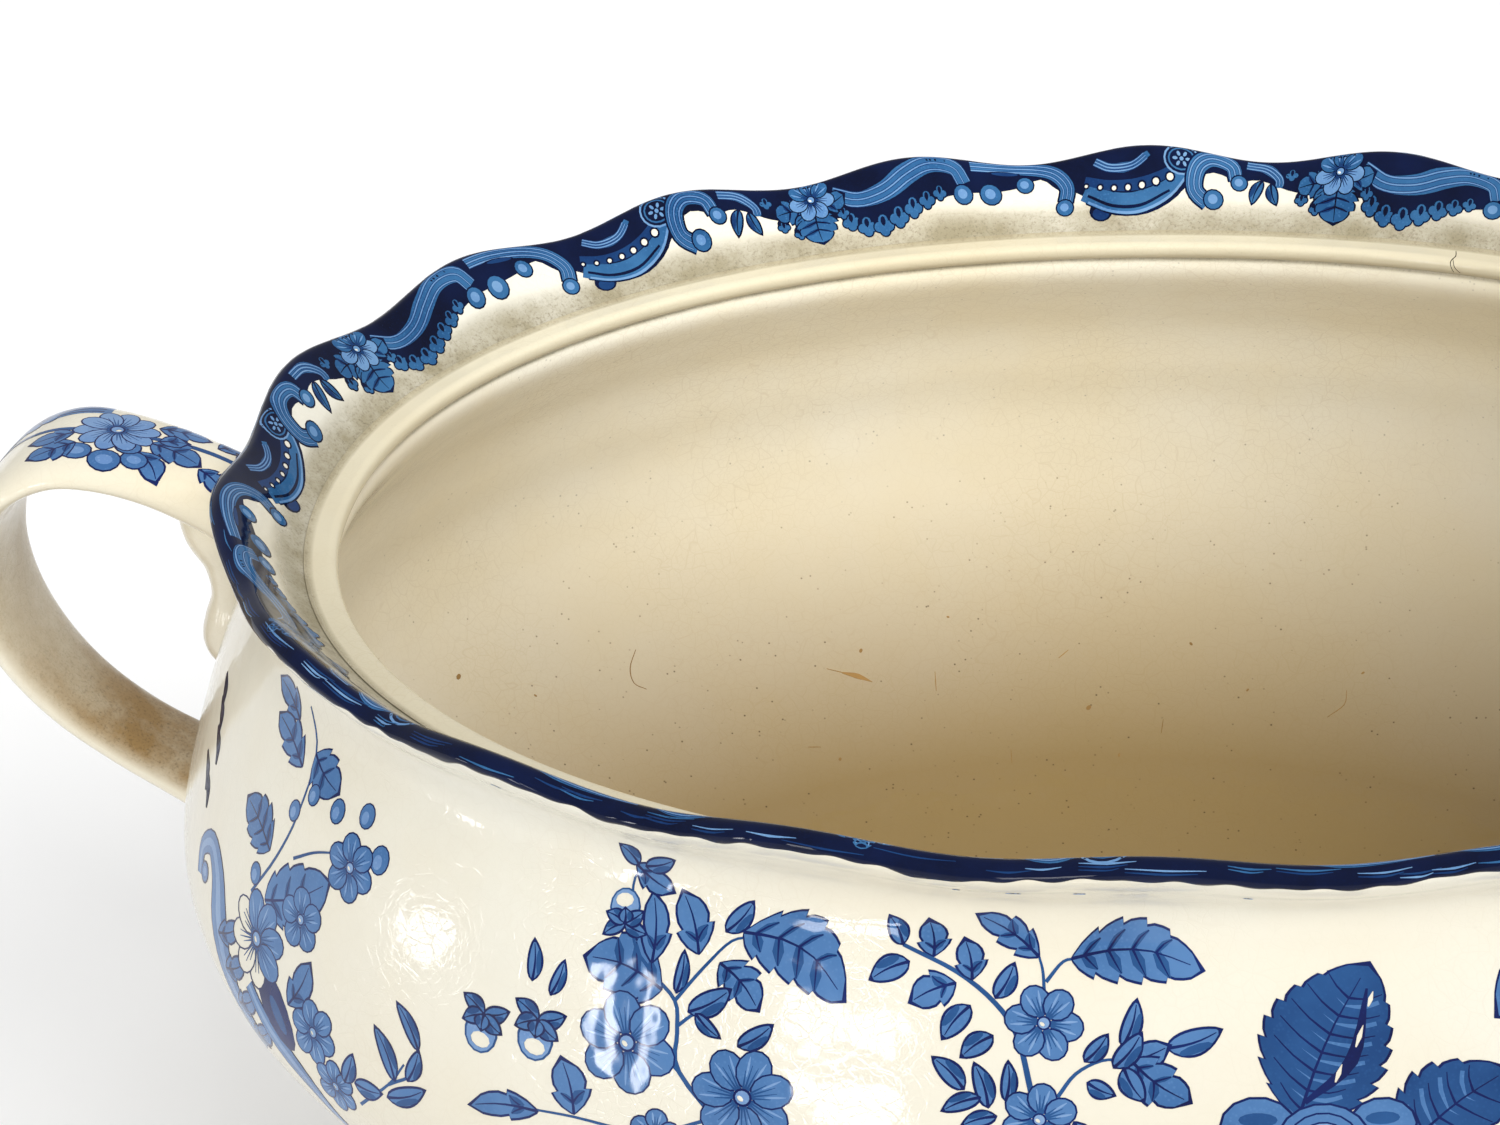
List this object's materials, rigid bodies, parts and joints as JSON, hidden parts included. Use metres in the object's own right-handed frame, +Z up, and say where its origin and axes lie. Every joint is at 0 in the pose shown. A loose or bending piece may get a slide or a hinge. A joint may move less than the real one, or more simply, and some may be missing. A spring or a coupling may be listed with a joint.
{
  "type": "soup tureen",
  "caption": "Lidless oval soup tureen in glazed pottery: bulging bowl with a wavy flared rim, inner lid ledge, spreading foot and a loop handle at each end.",
  "frame": {"origin": "centre of the foot on the plane it stands on, under the middle of the bounding box", "axes": "+Z up out of the bowl's mouth; +X along the long axis towards the right handle; +Y away from the side the picture shows"},
  "size_m": [0.375, 0.2404, 0.1502],
  "materials": {
    "printed_cream_glaze": "glossy warm cream glaze over blue transfer print, finely crazed",
    "plain_cream_glaze": "glossy warm cream glaze, crazed and a little stained"
  },
  "bodies": {
    "root": {"bowl": "printed_cream_glaze", "lid_ledge": "plain_cream_glaze", "pedestal_foot": "printed_cream_glaze", "left_handle": "printed_cream_glaze", "left_handle_scroll": "plain_cream_glaze", "right_handle": "printed_cream_glaze", "right_handle_scroll": "plain_cream_glaze"}
  },
  "joints": []
}
